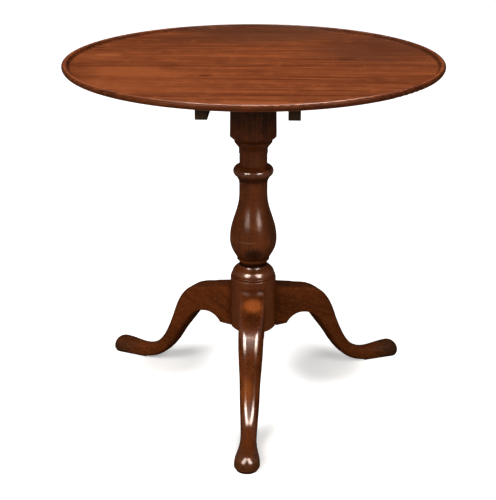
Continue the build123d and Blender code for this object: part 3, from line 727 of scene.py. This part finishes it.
@dataclass
class Tripod:
    """The three cabriole legs, which the iron plate ties; the plate is finished with the metalwork."""

    finish: LegFinish = MAHOGANY_LEG  # of the front leg, which hands and feet rub the most
    side_finish: LegFinish = SIDE_LEG
    grain_fall: float = 30.0  # degrees that the leg's grain falls towards the foot
    seed: float = 7.0
    seed_turn: float = 50.0  # degrees of a leg's turn that add one to its seed
    turns: dict[str, float] = field(  # degrees from the X axis to each leg
        default_factory=lambda: {"front": -90.0, "right": 30.0, "left": 150.0}
    )
    patches: dict[str, tuple[Patch, ...]] = field(
        default_factory=lambda: {
            "front": (
                Patch((0.001, -0.081, 0.222), (0.022, 0.026, 0.03), (0.430, 0.105, 0.022), 0.9),
                Patch((0.0, -0.122, 0.210), (0.03, 0.014, 0.03), (0.065, 0.014, 0.004), 0.6),
                Patch((-0.006, -0.222, 0.120), (0.014, 0.024, 0.060), (0.300, 0.080, 0.018), 0.75),
                Patch((0.0, -0.345, 0.010), (0.05, 0.045, 0.030), (0.062, 0.027, 0.011), 0.7),
            ),
            "right": (Patch((0.300, 0.172, 0.010), (0.060, 0.050, 0.034), (0.040, 0.019, 0.009), 0.8),),
            "left": (Patch((-0.300, 0.172, 0.010), (0.060, 0.050, 0.034), (0.040, 0.019, 0.009), 0.8),),
        }
    )

    def build(self) -> list[bpy.types.Object]:
        """Make the legs."""
        legs = []
        for hand, turn in self.turns.items():
            leg = smooth_copy(f"leg_{hand}")
            grain = (0.0, -self.grain_fall, -turn)
            seed = self.seed + turn / self.seed_turn
            finish = self.finish if hand == "front" else self.side_finish
            dress(leg, finish.material(f"leg_{hand}_polish", grain, seed, self.patches[hand]))
            legs.append(leg)
        return legs


@dataclass
class Metalwork:
    """Catch, strike, tripod plate and screws."""

    brass: MetalFinish = BRASS
    iron: MetalFinish = IRON
    spring: MetalFinish = SPRING_STEEL
    brass_nodes: tuple[str, ...] = (
        "catch_plate", "catch_case", "catch_knob", "catch_screws", "strike_plate", "strike_screws",
    )
    iron_nodes: tuple[str, ...] = (
        "tripod_plate", "tripod_plate_screws", "bearer_screws_left", "bearer_screws_right", "catch_bolt",
    )

    def build(self) -> list[bpy.types.Object]:
        """Finish the metal pieces, which keep their CAD shapes, and so give no new piece."""
        for finish, name, nodes in (
            (self.brass, "aged_brass", self.brass_nodes),
            (self.iron, "dark_iron", self.iron_nodes),
            (self.spring, "spring_steel", ("catch_spring",)),
        ):
            material = finish.material(name)
            for node in nodes:
                dress(frame["nodes"][node], material)
        return []


# ---------------------------------------------------------------- studio
@dataclass(frozen=True)
class Lamp:
    """A soft box that looks at a point of the table."""

    name: str
    azimuth: float  # degrees to the right of the front
    elevation: float
    distance: float
    target: Point
    size: tuple[float, float]
    power: float  # watts
    glint: bool = False  # it shows in the polish of the wood alone
    tint: Colour = (1.0, 0.97, 0.93)
    glint_tint: Colour = (1.0, 0.94, 0.85)

    def build(self, polished: bpy.types.Collection) -> None:
        """Hang the lamp.

        Args:
            polished: The pieces in whose polish a glint shows.
        """
        azimuth, elevation = math.radians(self.azimuth), math.radians(self.elevation)
        away = Vector(
            (
                math.sin(azimuth) * math.cos(elevation),
                -math.cos(azimuth) * math.cos(elevation),
                math.sin(elevation),
            )
        )
        data = bpy.data.lights.new(self.name, "AREA")
        data.shape = "RECTANGLE"
        data.size, data.size_y = self.size
        data.energy = self.power
        data.color = self.glint_tint if self.glint else self.tint
        lamp = bpy.data.objects.new(self.name, data)
        lamp.location = Vector(self.target) + away * self.distance
        lamp.rotation_euler = away.to_track_quat("Z", "Y").to_euler()
        lamp.visible_camera = False
        if self.glint:
            lamp.visible_diffuse = False
            lamp.light_linking.receiver_collection = polished
        bpy.context.scene.collection.objects.link(lamp)


@dataclass
class Studio:
    """Camera, pale floor and soft light."""

    camera_place: Point = (0.0777, -2.3610, 1.2132)
    camera_turn: Point = (69.108, 0.0, 2.148)  # degrees
    lens: float = 88.08
    sensor: float = 36.0
    floor_size: float = 40.0
    floor_colour: Colour = (0.95, 0.95, 0.95)
    floor_bounce: Colour = (0.35, 0.34, 0.33)  # of the light that it throws back up
    floor_lift: float = 0.85  # what is seen of the floor under the table beyond its lit colour
    floor_near: float = 0.5  # distance up to which the floor has that lift
    floor_far: float = 1.3  # distance at which the floor is plain white
    shades: tuple[Point, ...] = (  # where painted shadows darken the floor, beside the feet
        (0.035, -0.265, 0.0),
        (0.16, 0.10, 0.0),
        (-0.19, 0.115, 0.0),
    )
    shade_core: float = 0.04  # radius within which a painted shadow is darkest
    shade_reach: float = 0.14
    shade_depth: float = 0.52
    fill: float = 0.13  # strength of the light from all round
    fill_colour: Colour = (1.0, 0.98, 0.96)
    lamps: tuple[Lamp, ...] = (
        Lamp("left_softbox", -38.0, 34.0, 2.4, (0.0, 0.0, 0.4), (0.85, 1.38), 38.0),
        Lamp("right_softbox", 28.0, 34.0, 2.4, (0.0, 0.0, 0.4), (0.85, 1.38), 26.0),
        Lamp("left_glint", -34.0, 45.0, 2.4, (0.0, 0.0, 0.4), (1.05, 2.9), 1050.0, True),
        Lamp("right_glint", 37.0, 44.0, 2.4, (0.0, 0.0, 0.4), (1.05, 3.0), 1040.0, True),
        Lamp("back_left_glint", -166.0, 55.0, 2.4, (0.0, 0.0, 0.7), (0.42, 1.4), 150.0, True),
        Lamp("back_right_glint", 165.0, 55.0, 2.4, (0.0, 0.0, 0.7), (0.26, 1.4), 100.0, True),
        Lamp("overhead_softbox", -20.0, 80.0, 2.0, (0.0, 0.0, 0.7), (1.8, 1.8), 17.0),
    )

    def build(self, pieces: list[bpy.types.Object]) -> None:
        """Set up the whole studio.

        Args:
            pieces: The pieces in whose polish the glints show.
        """
        self.hang_camera()
        polished = bpy.data.collections.new("polished")
        for piece in pieces:
            polished.objects.link(piece)
        for lamp in self.lamps:
            lamp.build(polished)
        self.lay_floor()
        self.light_world()
        bpy.context.scene.view_settings.view_transform = "Standard"

    def hang_camera(self) -> None:
        """Put the camera in its place."""
        data = bpy.data.cameras.new("camera")
        data.lens = self.lens
        data.sensor_width = self.sensor
        camera = bpy.data.objects.new("camera", data)
        camera.location = self.camera_place
        camera.rotation_euler = tuple(math.radians(angle) for angle in self.camera_turn)
        bpy.context.scene.collection.objects.link(camera)
        bpy.context.scene.camera = camera

    def lay_floor(self) -> None:
        """Lay a white floor that keeps the table's shadow, with painted shadows beside the feet."""
        form = bmesh.new()
        bmesh.ops.create_grid(form, x_segments=1, y_segments=1, size=self.floor_size / 2)
        mesh = bpy.data.meshes.new("floor")
        form.to_mesh(mesh)
        form.free()
        floor = bpy.data.objects.new("floor", mesh)
        bpy.context.scene.collection.objects.link(floor)
        material = bpy.data.materials.new("floor_white")
        s = Shader(material, "ShaderNodeOutputMaterial")
        bounce = s.value("ShaderNodeBsdfDiffuse", {}, {"Color": self.floor_bounce})
        lit = s.value("ShaderNodeBsdfDiffuse", {}, {"Color": self.floor_colour})
        away = s.between(s.length(s.place()), self.floor_near, self.floor_far)
        lift = away * (1.0 - self.floor_lift) + self.floor_lift
        # Painted shadows: the floor's glow is lowered beside each foot.
        for centre in self.shades:
            apart = s.length(s.offset(s.place(), centre))
            lift = lift - s.between(apart, self.shade_reach, self.shade_core) * self.shade_depth
        glow = s.value("ShaderNodeEmission", {}, {"Color": WHITE, "Strength": lift})
        both = s.value("ShaderNodeAddShader", {}, {0: lit, 1: glow})
        s.close(s.value("ShaderNodeMixShader", {}, {0: s.seen(), 1: bounce, 2: both}))
        dress(floor, material)

    def light_world(self) -> None:
        """Fill the room with soft light and keep its background white."""
        world = bpy.data.worlds.new("studio")
        bpy.context.scene.world = world
        s = Shader(world, "ShaderNodeOutputWorld")
        soft = s.value("ShaderNodeBackground", {}, {"Color": self.fill_colour, "Strength": self.fill})
        white = s.value("ShaderNodeBackground", {}, {"Color": WHITE, "Strength": 1.0})
        s.close(s.value("ShaderNodeMixShader", {}, {0: s.seen(), 1: soft, 2: white}))


def main() -> None:
    """Build every sub-assembly and the studio."""
    logging.basicConfig(level=logging.INFO, format="%(name)s: %(message)s")
    assemblies = (Tabletop(), Pillar(), Tripod(), Metalwork())
    pieces = [piece for assembly in assemblies for piece in assembly.build()]
    for piece in pieces:
        log.info("%s has %d faces", piece.name, len(piece.data.polygons))
    Studio().build(pieces)


if __name__ == "__main__":
    main()
